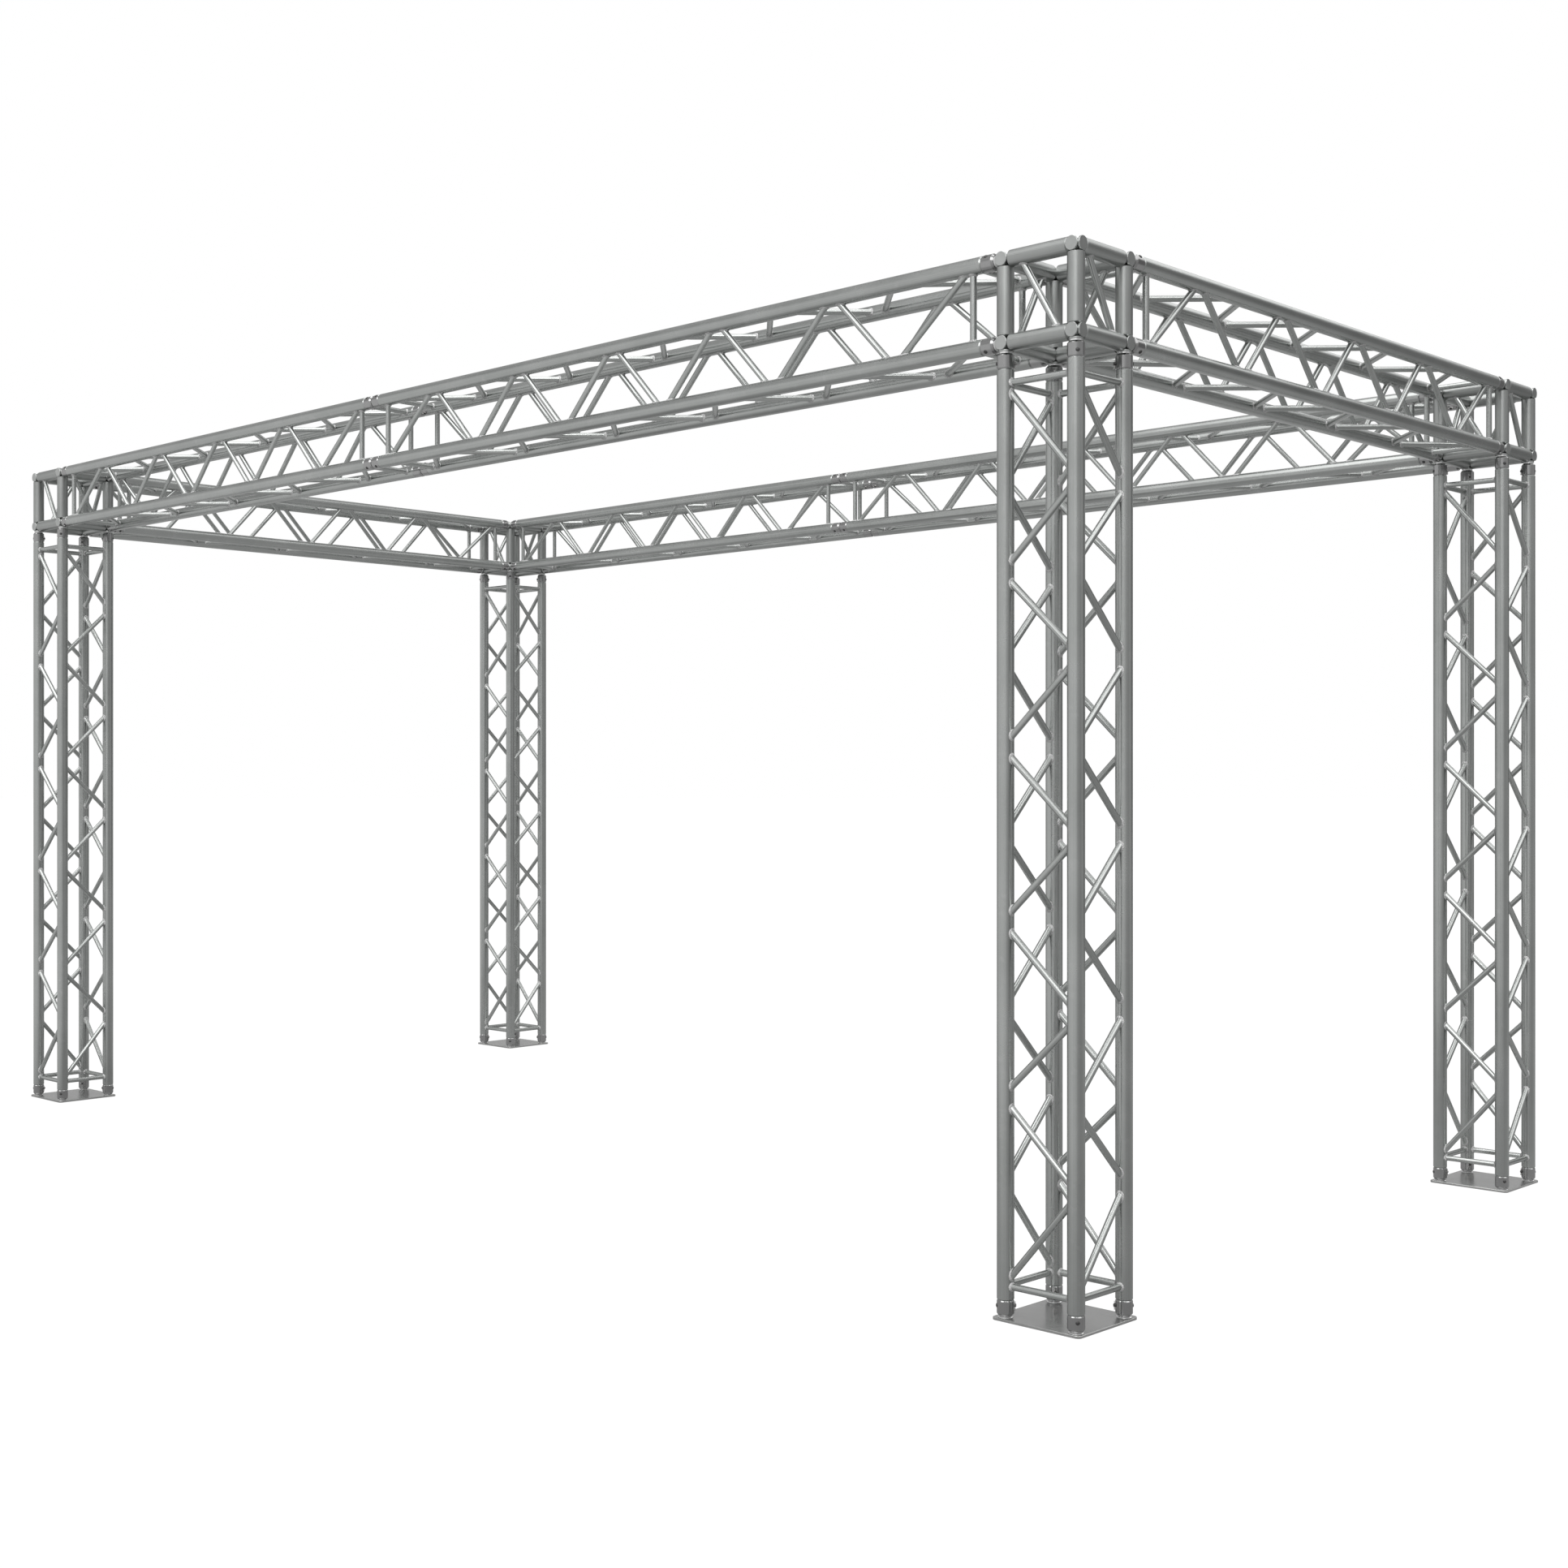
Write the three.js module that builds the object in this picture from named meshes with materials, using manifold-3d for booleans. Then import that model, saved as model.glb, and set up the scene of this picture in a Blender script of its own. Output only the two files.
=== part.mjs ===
import * as THREE from "three";
import { mergeVertices } from "three/addons/utils/BufferGeometryUtils.js";
import Module from "manifold-3d";

// A freestanding box-truss booth frame: four legs on base plates, four corner
// blocks, two long spans of two sections each and two side spans, all joined
// by conical couplers. Lengths are in millimetres. The origin is on the floor
// in the middle of the footprint, +X along the long side, +Y from the front to
// the back, +Z up.

const wasm = await Module();
wasm.setup();

// Truss profile: four chords on a square, with a zigzag brace in each face
const chordSpacing = 240;
const chordDiameter = 50;
const braceDiameter = 20;

// Straight sections, end to end of their chords
const legLength = 2750;
const longSpanRightLength = 3000;
const longSpanLeftLength = 2500;
const sideSpanLength = 2500;

// Open gap that every coupled joint shows between two chord ends
const jointGap = 5;

// Bracing, measured along a chord
const endToRung = 84;
const rungToNode = 291;
const nodePitch = 250;
const nodeSpread = 20;

// Conical coupler: the cone is widest at the chord's mouth
const couplerMouthDiameter = 36;
const couplerTipDiameter = 28;
const couplerReach = 50;
const socketEndClearance = 2;

// Corner block: bars of the chord's section cross at each corner and end in
// flat bosses; its couplers are bolted into the bosses
const blockBraceInset = 50;
const couplerSeatDepth = 6;

// Base plate
const plateSize = 300;
const plateThickness = 8;
const plateCornerRadius = 15;

// Clearance between pieces that touch, and how far a cut runs past a face
const touchGap = 0.3;
const cutOverrun = 2;

// Facets of the round parts
const chordSides = 8;
const braceSides = 4;
const coneSides = 6;
const plateCornerSteps = 2;

// Solids are snapped to a binary fraction, so that faces that meet in a joined
// piece share their corners exactly
const snapsPerUnit = 4096;

// Places that follow from the sizes above
const halfSpacing = chordSpacing / 2;
const bossReach = chordDiameter / 2;
const blockSide = chordSpacing + bossReach + jointGap;
const longSpan = longSpanRightLength + jointGap + longSpanLeftLength;
const legCentreX = (2 * blockSide + longSpan - chordSpacing) / 2;
const legCentreY = (2 * blockSide + sideSpanLength - chordSpacing) / 2;
const legTop = plateThickness + jointGap + legLength;
const blockCentreZ = legTop + jointGap + bossReach + halfSpacing;
const rightSpanEnd = legCentreX - halfSpacing - bossReach - jointGap;
const spliceX = rightSpanEnd - longSpanRightLength - jointGap / 2;
const sideSpanStart = -legCentreY + halfSpacing + bossReach + jointGap;

const X = new THREE.Vector3(1, 0, 0);
const Y = new THREE.Vector3(0, 1, 0);
const Z = new THREE.Vector3(0, 0, 1);
const minus = (v) => v.clone().negate();

// Frames: two directions across, then the run. Legs run down from the blocks.
const upright = [X, Y, Z];
const upsideDown = [X, minus(Y), minus(Z)];
const longFrame = [minus(Y), Z, minus(X)];
const sideFrame = [Z, X, Y];

// The four chords of a section, or the four corners of a block seen from above
const ring = [
  [-halfSpacing, -halfSpacing],
  [halfSpacing, -halfSpacing],
  [halfSpacing, halfSpacing],
  [-halfSpacing, halfSpacing],
];
const ringCorner = (k) => ring[(k + ring.length) % ring.length];

function solidOf(geometry) {
  const bare = geometry.clone();
  bare.deleteAttribute("normal");
  bare.deleteAttribute("uv");
  const places = bare.attributes.position.array;
  places.forEach((value, i) => (places[i] = Math.round(value * snapsPerUnit) / snapsPerUnit));
  const merged = mergeVertices(bare);
  return new wasm.Manifold(
    new wasm.Mesh({
      numProp: 3,
      vertProperties: merged.attributes.position.array,
      triVerts: new Uint32Array(merged.index.array),
    }),
  );
}

function geometryOf(solid) {
  const mesh = solid.getMesh();
  const geometry = new THREE.BufferGeometry();
  geometry.setAttribute("position", new THREE.BufferAttribute(mesh.vertProperties, mesh.numProp));
  geometry.setIndex(new THREE.BufferAttribute(mesh.triVerts, 1));
  geometry.computeVertexNormals();
  return geometry;
}

const join = (solids) => solids.reduce((whole, solid) => whole.add(solid));

// A faceted round of revolution about Z from [radius, z] points. Its flats lie
// at the true radius and two of them face along X.
function turned(profile, sides) {
  const toCorner = 1 / Math.cos(Math.PI / sides);
  const points = profile.map(([radius, z]) => new THREE.Vector2(radius * toCorner, z));
  const geometry = new THREE.LatheGeometry(points, sides, Math.PI / 2 + Math.PI / sides);
  return geometry.rotateX(Math.PI / 2);
}

const frustum = (startZ, startRadius, endZ, endRadius, sides) =>
  turned([[0, startZ], [startRadius, startZ], [endRadius, endZ], [0, endZ]], sides);

function placeMatrix(origin, [across, aside, along]) {
  return new THREE.Matrix4().makeBasis(across, aside, along).setPosition(origin);
}

// A straight bar between two points, with one flat facing along `facing`
function bar(from, to, facing, diameter, sides) {
  const run = to.clone().sub(from);
  const along = run.clone().normalize();
  const aside = new THREE.Vector3().crossVectors(along, facing).normalize();
  const across = new THREE.Vector3().crossVectors(aside, along);
  const round = frustum(0, diameter / 2, run.length(), diameter / 2, sides);
  return solidOf(round.applyMatrix4(placeMatrix(from, [across, aside, along])));
}

// Radius of a coupler at a height above the face that it is bolted to
const coneTaper = (couplerMouthDiameter - couplerTipDiameter) / 2 / couplerReach;
const coneRadius = (height) => couplerMouthDiameter / 2 + coneTaper * (jointGap - height);
const couplerHeight = jointGap + couplerReach;

const halfCoupler = (foot) =>
  frustum(foot, coneRadius(foot), couplerHeight, coneRadius(couplerHeight), coneSides);

function doubleCoupler() {
  const middle = jointGap / 2;
  const reach = middle + couplerReach;
  const tip = coneRadius(couplerHeight);
  return turned([[0, -reach], [tip, -reach], [coneRadius(middle), 0], [tip, reach], [0, reach]], coneSides);
}

// The socket that a coupler seats in, cut into a chord from its end at z = 0
function socket() {
  const mouth = -cutOverrun;
  const depth = couplerReach + socketEndClearance;
  const radiusAt = (z) => coneRadius(jointGap + z) + touchGap;
  return frustum(mouth, radiusAt(mouth), depth, radiusAt(depth), coneSides);
}

// Heights along a section where the braces of one face meet its chords
function braceStations(length) {
  const firstNode = endToRung + rungToNode;
  const zigzag = length - 2 * firstNode;
  const pitches = Math.max(1, Math.round(zigzag / nodePitch));
  const nodes = Array.from({ length: pitches + 1 }, (_, i) => firstNode + (i * zigzag) / pitches);
  return [endToRung, ...nodes, length - endToRung];
}

// One welded section along +Z: chords, a rung at each end of each face, and a
// zigzag brace whose runs leave a small gap where they land on a chord
function trussSection(length) {
  const stations = braceStations(length);
  const lastStation = stations.length - 1;
  const solids = ring.map(([x, y]) =>
    bar(new THREE.Vector3(x, y, 0), new THREE.Vector3(x, y, length), X, chordDiameter, chordSides),
  );
  ring.forEach((_, face) => {
    const [first, second] = [ringCorner(face), ringCorner(face + 1)];
    const outward = new THREE.Vector3(first[0] + second[0], first[1] + second[1], 0).normalize();
    const brace = (start, startZ, end, endZ) => {
      const from = new THREE.Vector3(...start, startZ);
      const to = new THREE.Vector3(...end, endZ);
      solids.push(bar(from, to, outward, braceDiameter, braceSides));
    };
    brace(first, stations[0], second, stations[0]);
    brace(first, stations[lastStation], second, stations[lastStation]);
    for (let run = 0; run < lastStation; run++) {
      const spreadStart = run > 0 ? nodeSpread / 2 : 0;
      const spreadEnd = run < lastStation - 1 ? nodeSpread / 2 : 0;
      const [start, end] = run % 2 ? [first, second] : [second, first];
      brace(start, stations[run] + spreadStart, end, stations[run + 1] - spreadEnd);
    }
  });
  let section = join(solids);
  for (const [x, y] of ring) {
    const near = socket().applyMatrix4(placeMatrix(new THREE.Vector3(x, y, 0), upright));
    const far = socket().applyMatrix4(placeMatrix(new THREE.Vector3(x, y, length), upsideDown));
    section = section.subtract(solidOf(near)).subtract(solidOf(far));
  }
  return geometryOf(section);
}

// Where three equal octagonal bars cross: octagonal faces, and at each corner
// of their cube a notch of three facets that meet in its middle
function crossing() {
  const flat = bossReach * Math.tan(Math.PI / chordSides);
  const notch = (bossReach + flat) / 2;
  const octagon = [
    [bossReach, flat],
    [flat, bossReach],
    [-flat, bossReach],
    [-bossReach, flat],
    [-bossReach, -flat],
    [-flat, -bossReach],
    [flat, -bossReach],
    [bossReach, -flat],
  ];
  const places = [];
  const facet = (a, b, c, flipped) => places.push(...a, ...(flipped ? [...c, ...b] : [...b, ...c]));
  for (const side of [-1, 1]) {
    for (const turn of [0, 1, 2]) {
      const corner = ([u, v]) => {
        const place = [side * bossReach, u, v];
        return [place[(3 - turn) % 3], place[(4 - turn) % 3], place[(5 - turn) % 3]];
      };
      for (let i = 1; i < octagon.length - 1; i++)
        facet(corner(octagon[0]), corner(octagon[i]), corner(octagon[i + 1]), side < 0);
    }
  }
  for (const x of [-1, 1])
    for (const y of [-1, 1])
      for (const z of [-1, 1]) {
        const middle = [x * notch, y * notch, z * notch];
        const rim = [
          [x * bossReach, y * flat, z * bossReach],
          [x * bossReach, y * bossReach, z * flat],
          [x * flat, y * bossReach, z * bossReach],
        ];
        rim.forEach((from, i) => facet(from, rim[(i + 1) % rim.length], middle, x * y * z < 0));
      }
  return new THREE.BufferGeometry().setAttribute("position", new THREE.Float32BufferAttribute(places, 3));
}

// One corner block about its own centre, with a brace in each upright face that
// falls onward round the ring. Corner k of the ring is where the block stands in
// the frame; its couplers point down and along both spans.
function cornerBlock(k) {
  const corner = (i, z) => new THREE.Vector3(...ringCorner(i), z);
  const solids = [];
  const edge = (from, to, facing) => {
    const along = to.clone().sub(from).normalize().multiplyScalar(bossReach);
    solids.push(bar(from.clone().add(along), to.clone().sub(along), facing, chordDiameter, chordSides));
  };
  for (let i = 0; i < ring.length; i++) {
    edge(corner(i, -halfSpacing), corner(i, halfSpacing), X);
    for (const z of [-halfSpacing, halfSpacing]) {
      solids.push(solidOf(crossing().translate(...corner(i, z))));
      edge(corner(i, z), corner(i + 1, z), Z);
    }
    const high = corner(i, halfSpacing);
    const low = corner(i + 1, -halfSpacing);
    const level = new THREE.Vector3(low.x - high.x, low.y - high.y, 0).normalize();
    const from = high.clone().addScaledVector(level, blockBraceInset);
    const to = low.clone().addScaledVector(level, -blockBraceInset);
    solids.push(bar(from, to, new THREE.Vector3().crossVectors(level, Z), braceDiameter, braceSides));
  }
  const [inX, inY] = ringCorner(k).map((place) => -Math.sign(place));
  const mates = [
    upsideDown,
    [minus(Y), Z.clone().multiplyScalar(-inX), X.clone().multiplyScalar(inX)],
    [Z, X.clone().multiplyScalar(inY), Y.clone().multiplyScalar(inY)],
  ];
  for (const [across, aside, along] of mates) {
    for (const [u, v] of ring) {
      const origin = along.clone().multiplyScalar(halfSpacing + bossReach);
      origin.addScaledVector(across, u).addScaledVector(aside, v);
      const coupler = halfCoupler(-couplerSeatDepth);
      solids.push(solidOf(coupler.applyMatrix4(placeMatrix(origin, [across, aside, along]))));
    }
  }
  return geometryOf(join(solids));
}

function basePlate() {
  const half = plateSize / 2;
  const inner = half - plateCornerRadius;
  const outline = new THREE.Shape();
  outline.absarc(inner, inner, plateCornerRadius, 0, Math.PI / 2);
  outline.absarc(-inner, inner, plateCornerRadius, Math.PI / 2, Math.PI);
  outline.absarc(-inner, -inner, plateCornerRadius, Math.PI, (3 * Math.PI) / 2);
  outline.absarc(inner, -inner, plateCornerRadius, (3 * Math.PI) / 2, 2 * Math.PI);
  return new THREE.ExtrudeGeometry(outline, {
    depth: plateThickness,
    bevelEnabled: false,
    curveSegments: plateCornerSteps,
  });
}

const truss = new THREE.Group();

const metal = (color, roughness, metalness) =>
  new THREE.MeshStandardMaterial({ color, roughness, metalness });
const chordAluminium = () => metal(0x9b9d9b, 0.42, 0.85);
const castAluminium = () => metal(0xa8aaa9, 0.5, 0.8);
const turnedAluminium = () => metal(0xc4c6c6, 0.3, 0.9);
const plateAluminium = () => metal(0x8f9190, 0.55, 0.8);

function add(name, geometry, material, origin, frame) {
  const mesh = new THREE.Mesh(geometry, material);
  mesh.name = name;
  mesh.position.copy(origin);
  mesh.quaternion.setFromRotationMatrix(placeMatrix(new THREE.Vector3(), frame));
  truss.add(mesh);
}

const legGeometry = trussSection(legLength);
const rightSpanGeometry = trussSection(longSpanRightLength);
const leftSpanGeometry = trussSection(longSpanLeftLength);
const sideSpanGeometry = trussSection(sideSpanLength);
const plateGeometry = geometryOf(solidOf(basePlate()));
const footCouplerGeometry = geometryOf(solidOf(halfCoupler(touchGap)));
const spliceCouplerGeometry = geometryOf(solidOf(doubleCoupler()));
const cornerNames = ["front_left", "front_right", "back_right", "back_left"];

// Corner by corner: plate, its four couplers, leg and block
cornerNames.forEach((place, k) => {
  const [signX, signY] = ringCorner(k).map(Math.sign);
  const stand = (z) => new THREE.Vector3(signX * legCentreX, signY * legCentreY, z);
  add("base_plate_" + place, plateGeometry, plateAluminium(), stand(0), upright);
  ring.forEach(([x, y], chord) => {
    const foot = stand(plateThickness).add(new THREE.Vector3(x, y, 0));
    add("foot_coupler_" + place + "_" + (chord + 1), footCouplerGeometry, turnedAluminium(), foot, upright);
  });
  add("leg_" + place, legGeometry, chordAluminium(), stand(legTop), upsideDown);
  add("corner_block_" + place, cornerBlock(k), castAluminium(), stand(blockCentreZ), upright);
});

// The long spans, each spliced off its middle, and the side spans
for (const [side, y] of [["front", -legCentreY], ["back", legCentreY]]) {
  const start = new THREE.Vector3(rightSpanEnd, y, blockCentreZ);
  const splice = new THREE.Vector3(spliceX, y, blockCentreZ);
  const leftStart = new THREE.Vector3(spliceX - jointGap / 2, y, blockCentreZ);
  add(side + "_span_right", rightSpanGeometry, chordAluminium(), start, longFrame);
  add(side + "_span_left", leftSpanGeometry, chordAluminium(), leftStart, longFrame);
  ring.forEach(([u, v], chord) => {
    const [across, aside] = longFrame;
    const place = splice.clone().addScaledVector(across, u).addScaledVector(aside, v);
    add(side + "_splice_coupler_" + (chord + 1), spliceCouplerGeometry, turnedAluminium(), place, longFrame);
  });
}
for (const [side, x] of [["left", -legCentreX], ["right", legCentreX]]) {
  const start = new THREE.Vector3(x, sideSpanStart, blockCentreZ);
  add(side + "_span", sideSpanGeometry, chordAluminium(), start, sideFrame);
}

export default truss;
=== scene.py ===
import math

import bmesh
import bpy
import numpy as np
from mathutils import Matrix, Vector


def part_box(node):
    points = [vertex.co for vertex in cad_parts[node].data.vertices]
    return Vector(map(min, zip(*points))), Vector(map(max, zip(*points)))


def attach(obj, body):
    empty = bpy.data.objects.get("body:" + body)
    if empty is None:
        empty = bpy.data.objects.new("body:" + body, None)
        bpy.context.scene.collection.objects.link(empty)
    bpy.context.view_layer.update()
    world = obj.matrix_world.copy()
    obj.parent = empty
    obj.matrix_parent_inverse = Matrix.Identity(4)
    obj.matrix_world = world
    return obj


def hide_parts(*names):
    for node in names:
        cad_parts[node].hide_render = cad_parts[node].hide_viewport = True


# A freestanding booth frame of square box truss: four legs on base plates, four
# corner cubes, two long spans of two sections each and two side spans. Lengths
# are in metres. Each section's chords, braces, welds, couplers and pins are
# built in the section's own frame, along +Z, and set where the frame has them.

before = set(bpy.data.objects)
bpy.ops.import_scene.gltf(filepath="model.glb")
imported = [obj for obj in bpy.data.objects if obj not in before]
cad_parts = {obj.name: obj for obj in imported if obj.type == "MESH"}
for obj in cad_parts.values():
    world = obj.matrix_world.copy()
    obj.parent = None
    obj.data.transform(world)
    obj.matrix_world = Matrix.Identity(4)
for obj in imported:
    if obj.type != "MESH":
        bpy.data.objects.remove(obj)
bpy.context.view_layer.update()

X, Y, Z = Vector((1, 0, 0)), Vector((0, 1, 0)), Vector((0, 0, 1))

# From a section's axis out to its chord at (-, -)
DIAGONAL = Vector((-1, -1, 0)).normalized()

# Truss profile
CHORD_SPACING = 0.240
CHORD_RADIUS = 0.025
BRACE_RADIUS = 0.010
HALF_SPACING = CHORD_SPACING / 2

# Bracing, measured along a chord
END_TO_RUNG = 0.084
RUNG_TO_NODE = 0.291
NODE_PITCH = 0.250
NODE_SPREAD = 0.020
FIRST_NODE = END_TO_RUNG + RUNG_TO_NODE

# Chord ends: a bevel down to the face of the conical receiver
JOINT_GAP = 0.005
END_FACE_RADIUS = 0.0202
END_BEVEL = 0.0062
MOUTH_RADIUS = 0.0186
MOUTH_CHAMFER = 0.0006
SOCKET_TIP_RADIUS = 0.0145
SOCKET_DEPTH = 0.052
SEAM_FROM_END = 0.0445
SEAM_WIDTH = 0.0064
SEAM_DEPTH = 0.0024
TURNED_FADE = 0.001

# Conical couplers, turned, with a shoulder that shows in the gap
CONE_MOUTH_RADIUS = 0.0181
CONE_TIP_RADIUS = 0.0140
CONE_REACH = 0.050
CONE_CHAMFER = 0.0015
CONE_CHAMFER_LEAN = 0.3
CONE_FOOT_STEP = 0.0002
FOOT_FLANGE_RADIUS = 0.0225
FOOT_FLANGE_HEIGHT = 0.0034
FOOT_FLANGE_EDGE = FOOT_FLANGE_HEIGHT * 0.2
FOOT_FILLET = 0.0006

# Tapered pins, driven along the section's diagonal, each with a spring clip
PIN_FROM_END = 0.0275
PIN_HEAD_REACH = 0.0276
PIN_HEAD_DOME = 0.0026
PIN_TAIL_REACH = 0.0305
PIN_HEAD_RADIUS = 0.0062
PIN_TAIL_RADIUS = 0.0048
PIN_CHAMFER = 0.0008
CLIP_WIRE_RADIUS = 0.0011
CLIP_FROM_TAIL = 0.0035
CLIP_LEG_BEFORE = 0.0081
CLIP_LEG_AFTER = 0.0099
CLIP_BOW_RADIUS = 0.0036
CLIP_HUG_RADIUS = PIN_TAIL_RADIUS + CLIP_WIRE_RADIUS * 1.2
CLIP_HUG_START = 0.9
CLIP_BEND = (CLIP_HUG_RADIUS * 1.25, CLIP_BOW_RADIUS * 0.8)
CLIP_TIP = (CLIP_HUG_RADIUS * 1.9, CLIP_BOW_RADIUS * 1.15)

# Corner cubes: at each corner a ball and stub bosses, with a groove before each bar
BALL_RADIUS = 0.0150
BOSS_RADIUS = 0.0205
BOSS_NECK_RADIUS = 0.0130
BOSS_NECK_REACH = 0.0120
BOSS_NECK_LENGTH = 0.0040
BOSS_REACH = 0.025
BOSS_EDGE = 0.0008
CUBE_BAR_START = 0.0140
CUBE_BAR_END_RADIUS = 0.0165
CUBE_BAR_PLUG = 0.0060
CUBE_BRACE_INSET = 0.050

# Base plates
PLATE_CORNER_RADIUS = 0.015
PLATE_EDGE = 0.0010
PLATE_CORNER_STEPS = 8

# Weld beads, and how far hidden ends sink into what carries them
BEAD_LEG = 0.0042
BEAD_CREST = BEAD_LEG * 0.58
BEAD_SINK = 0.0010
TOE_SINK = 0.0002
COPE_SINK = 0.0012

# Facets of the rounds, and the points along their bends
CHORD_SIDES = 40
BRACE_SIDES = 16
PIN_SIDES = 14
WIRE_SIDES = 6
CONE_SIDES = 32
DOME_RINGS = 5
BALL_RINGS = 13
CLIP_BOW_POINTS = 6
CLIP_HUG_POINTS = 5
SHARP_ANGLE = math.radians(28)

# Camera, as the photograph was taken. Pixels are of its square frame.
PHOTO_PIXELS = 1932
FOCAL_PIXELS = 2476.3
PRINCIPAL_PIXEL = (853.07, 965.31)
EYE = Vector((6.2191, -6.2215, 1.5342))
EYE_YAW = math.radians(45.022)
SENSOR_WIDTH = 36.0
SIGHT_LIMIT = 200.0


def make_camera():
    camera = bpy.data.cameras.new("photo_camera")
    camera.sensor_width = SENSOR_WIDTH
    camera.lens = SENSOR_WIDTH * FOCAL_PIXELS / PHOTO_PIXELS
    camera.shift_x = 0.5 - PRINCIPAL_PIXEL[0] / PHOTO_PIXELS
    camera.shift_y = PRINCIPAL_PIXEL[1] / PHOTO_PIXELS - 0.5
    camera.clip_end = SIGHT_LIMIT
    eye = bpy.data.objects.new("photo_camera", camera)
    eye.location = EYE
    eye.rotation_euler = (math.pi / 2, 0.0, EYE_YAW)
    bpy.context.scene.collection.objects.link(eye)
    bpy.context.scene.camera = eye


class Socket:
    """A node's output that takes Python's operators, each as one Math node."""

    def __init__(self, graph, socket):
        self.graph, self.socket = graph, socket

    def math(self, operation, *others):
        return self.graph.node("ShaderNodeMath", {"operation": operation}, [self, *others])

    def __add__(self, other):
        return self.math("ADD", other)

    def __sub__(self, other):
        return self.math("SUBTRACT", other)

    def __rsub__(self, other):
        return self.graph.node("ShaderNodeMath", {"operation": "SUBTRACT"}, [other, self])

    def __mul__(self, other):
        return self.math("MULTIPLY", other)

    def __truediv__(self, other):
        return self.math("DIVIDE", other)

    def __mod__(self, other):
        return self.math("MODULO", other)

    __radd__ = __add__
    __rmul__ = __mul__


class Graph:
    """A node tree, for a material, the world or geometry, whose nodes come from one method."""

    def __init__(self, tree):
        self.tree = tree

    def node(self, kind, settings=None, values=(), output=0):
        """A node of a type, with its settings and then the values or links of its
        sockets, by name or number or in their order. Gives one of its outputs."""
        made = self.tree.nodes.new(kind)
        for name, value in (settings or {}).items():
            setattr(made, name, value)
        pairs = values.items() if isinstance(values, dict) else enumerate(values)
        for key, value in pairs:
            if isinstance(value, Socket):
                self.tree.links.new(value.socket, made.inputs[key])
            elif value is not None:
                made.inputs[key].default_value = value
        return Socket(self, made.outputs[output]) if made.outputs else made

    def mix(self, factor, low, high):
        """A colour between two: the node's sockets for colours come after those for numbers."""
        return self.node("ShaderNodeMix", {"data_type": "RGBA"}, {0: factor, 6: low, 7: high}, 2)

    def spread(self, value, start, end, low=0.0, high=1.0):
        """A value between start and end, brought to the range from low to high and held in it."""
        return self.node("ShaderNodeMapRange", {}, [value, start, end, low, high])

    def noise(self, where, scale, detail=3.0, roughness=0.55):
        values = {"Vector": where, "Scale": scale, "Detail": detail, "Roughness": roughness}
        return self.node("ShaderNodeTexNoise", {}, values)

    def streaks(self, where, scales, detail=3.0, roughness=0.55):
        """Noise with its own scale along each axis."""
        stretched = self.node("ShaderNodeVectorMath", {"operation": "MULTIPLY"}, [where, scales])
        return self.noise(stretched, 1.0, detail, roughness)


def grey(level, warmth=0.0, green=0.0):
    """A near-grey: warmth shifts it from blue to red, and green is its own share more."""
    return (level * (1 + warmth), level * (1 + green), level * (1 - warmth), 1.0)


# Finishes. Scales are in features to the metre, reliefs in metres.
MIDDLE_TONES = (0.3, 0.7)
DIE_LINES = (420.0, 420.0, 3.0)
TUBE_CLOUDS = 5.0
RUBBED_PATCHES = 23.0
# The last of these tones darkens the chord ends out to the seam: painted shade.
TUBE_DARK, TUBE_LIGHT, TUBE_RUBBED, TUBE_TURNED_SHADE = 0.86, 1.10, 1.25, 0.85
WELD_RIPPLES = 24.0
WELD_SOOT = 160.0
CAST_PITS = 420.0
CAST_CLOUDS = 14.0
LATHE_RINGS = (8.0, 8.0, 2400.0)
PIN_WEAR = 340.0
ZINC_SPOTS = 700.0
ROLLING_LINES = (6.0, 420.0, 60.0)
PLATE_BLOOM = 9.0
PLATE_SCUFFS = (90.0, 18.0, 60.0)
CHORD_RELIEF = 0.00003
WELD_RELIEF = 0.0006
CAST_RELIEF = 0.00005
TURNED_RELIEF = 0.00005
PIN_RELIEF = 0.00005
CLIP_RELIEF = 0.00003
PLATE_RELIEF = 0.00006


class Finish:
    """One metal finish: a Principled shader with the fields that its streaks and stains use."""

    def __init__(self, name, metallic):
        self.material = bpy.data.materials.new(name)
        self.material.use_nodes = True
        self.material.node_tree.nodes.clear()
        self.graph = Graph(self.material.node_tree)
        self.place = self.graph.node("ShaderNodeTexCoord", {}, (), "Object")
        named = {"attribute_name": "grain"}
        self.grain = self.graph.node("ShaderNodeAttribute", named, (), "Vector")
        self.metallic = metallic

    def shade(self, color, roughness, height=None, relief=0.0):
        values = {"Base Color": color, "Roughness": roughness, "Metallic": self.metallic}
        if height is not None:
            bump = {"Strength": 1.0, "Distance": relief, "Height": height}
            values["Normal"] = self.graph.node("ShaderNodeBump", {}, bump)
        shader = self.graph.node("ShaderNodeBsdfPrincipled", {}, values)
        self.graph.node("ShaderNodeOutputMaterial", {}, {"Surface": shader})
        return self.material


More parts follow.
